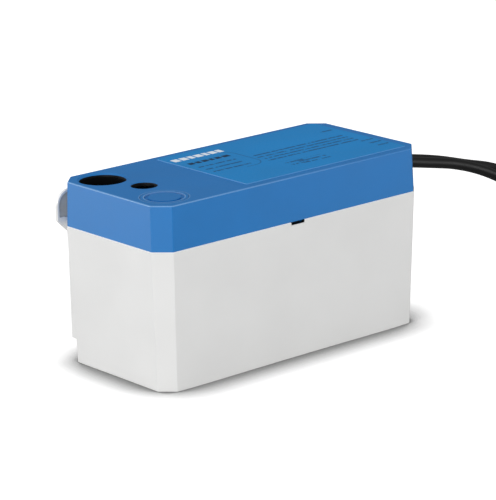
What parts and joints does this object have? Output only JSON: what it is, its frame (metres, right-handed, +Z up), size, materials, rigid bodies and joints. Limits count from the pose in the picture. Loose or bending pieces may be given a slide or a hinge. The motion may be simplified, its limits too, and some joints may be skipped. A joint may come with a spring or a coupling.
{
  "type": "condensate pump",
  "caption": "Tank pump for condensate: a white tank, a blue lift-off lid unit with motor, centrifugal pump, float switch and check valve, and two cords.",
  "frame": {"origin": "centre of the tank's flat underside", "axes": "+Z up; +X along the length, towards the end that the cords leave; +Y towards the wall that the lugs screw to"},
  "size_m": [0.5224, 0.1084, 0.1042],
  "materials": {
    "rotor_aluminium": "die cast aluminium cage on steel sheets",
    "valve_ball": "nitrile rubber ball",
    "black_plastic": "black moulded polyamide",
    "pin_brass": "nickel plated brass",
    "bearing_bronze": "sintered bronze",
    "cord_jacket": "black flexible PVC cord jacket",
    "core_insulation": "coloured PVC core insulation with tinned copper ends",
    "float_foam": "closed cell moulded float",
    "grey_plastic": "grey moulded polypropylene",
    "label_film": "printed polyester label film",
    "lamination_steel": "varnished electrical steel sheets",
    "lid_blue": "injection-moulded royal blue ABS, satin gloss",
    "bush_rubber": "grey moulded rubber",
    "blind_plug_blue": "injection-moulded royal blue ABS",
    "black_rubber": "black moulded rubber",
    "shaft_steel": "ground stainless steel",
    "zinc_steel": "zinc plated steel",
    "tank_white": "injection-moulded white polypropylene, satin gloss",
    "winding_tape": "polyester tape over enamelled copper wire",
    "tie_nylon": "black nylon",
    "natural_plastic": "natural nylon"
  },
  "bodies": {
    "root": {"tank": "tank_white", "lug_bushes": "bush_rubber", "mains_coil": "cord_jacket", "alarm_coil": "cord_jacket", "coil_ties": "tie_nylon", "mains_lead": "cord_jacket", "alarm_lead": "cord_jacket", "mains_plug": "black_rubber", "plug_pins": "pin_brass", "alarm_cores": "core_insulation"},
    "inlet_plug": {"inlet_plug": "blind_plug_blue"},
    "rotor": {"rotor": "rotor_aluminium", "motor_shaft": "shaft_steel", "cooling_fan": "black_plastic", "impeller": "natural_plastic"},
    "float": {"float_body": "float_foam", "float_stem": "natural_plastic"},
    "valve_ball": {"valve_ball": "valve_ball"},
    "pump_lever": {"pump_switch_lever": "shaft_steel"},
    "alarm_lever": {"alarm_switch_lever": "shaft_steel"},
    "lid_unit": {"alarm_cord": "cord_jacket", "alarm_strain_relief": "black_rubber", "alarm_switch": "black_plastic", "clamp_screws": "zinc_steel", "clip_screws": "zinc_steel", "column_screws": "zinc_steel", "cord_clamp": "natural_plastic", "cord_tails": "cord_jacket", "discharge_pipe": "natural_plastic", "float_guide": "natural_plastic", "inlet_sockets": "black_rubber", "inlet_strainer": "grey_plastic", "label_film": "label_film", "lamination_stack": "lamination_steel", "lid": "lid_blue", "lower_bracket": "zinc_steel", "mains_cord": "cord_jacket", "mains_strain_relief": "black_rubber", "motor_bearings": "bearing_bronze", "motor_bobbin": "natural_plastic", "motor_bolts": "zinc_steel", "motor_tray": "grey_plastic", "motor_winding": "winding_tape", "outlet_barb": "black_plastic", "pipe_coupling": "black_rubber", "pump_housing": "grey_plastic", "pump_switch": "black_plastic", "riser_clip": "grey_plastic", "strainer_screws": "zinc_steel", "switch_bracket": "zinc_steel", "switch_screws": "zinc_steel", "terminal_block": "natural_plastic", "terminal_screws": "pin_brass", "thermal_cutout": "black_plastic", "tray_screws": "zinc_steel", "upper_bracket": "zinc_steel", "valve_body": "grey_plastic"}
  },
  "joints": [
    {"name": "lid_lift", "type": "slide", "parent": "root", "child": "lid_unit", "axis": [0, 0, 1], "range_m": [0, 0.09]},
    {"name": "inlet_plug_pull", "type": "slide", "parent": "lid_unit", "child": "inlet_plug", "axis": [0, 0, 1], "range_m": [0, 0.02]},
    {"name": "rotor_spin", "type": "hinge", "parent": "lid_unit", "child": "rotor", "pos_m": [0.01, -0.011, 0.079], "axis": [0, 0, 1], "continuous": true},
    {"name": "float_rise", "type": "slide", "parent": "lid_unit", "child": "float", "axis": [0, 0, 1], "range_m": [0, 0.0142]},
    {"name": "valve_ball_lift", "type": "slide", "parent": "lid_unit", "child": "valve_ball", "axis": [0, 0, 1], "range_m": [0, 0.005]},
    {"name": "pump_lever_turn", "type": "hinge", "parent": "lid_unit", "child": "pump_lever", "pos_m": [0.084, 0.0157, 0.0826], "axis": [0, 1, 0], "range_deg": [0, 7]},
    {"name": "alarm_lever_turn", "type": "hinge", "parent": "lid_unit", "child": "alarm_lever", "pos_m": [0.084, 0.0231, 0.0826], "axis": [0, 1, 0], "range_deg": [0, 4.5]}
  ],
  "couplings": [
    {"joint": "pump_lever_turn", "follows": "float_rise", "rad_per_m": 8.6},
    {"joint": "alarm_lever_turn", "follows": "float_rise", "rad_per_m": 5.53}
  ]
}
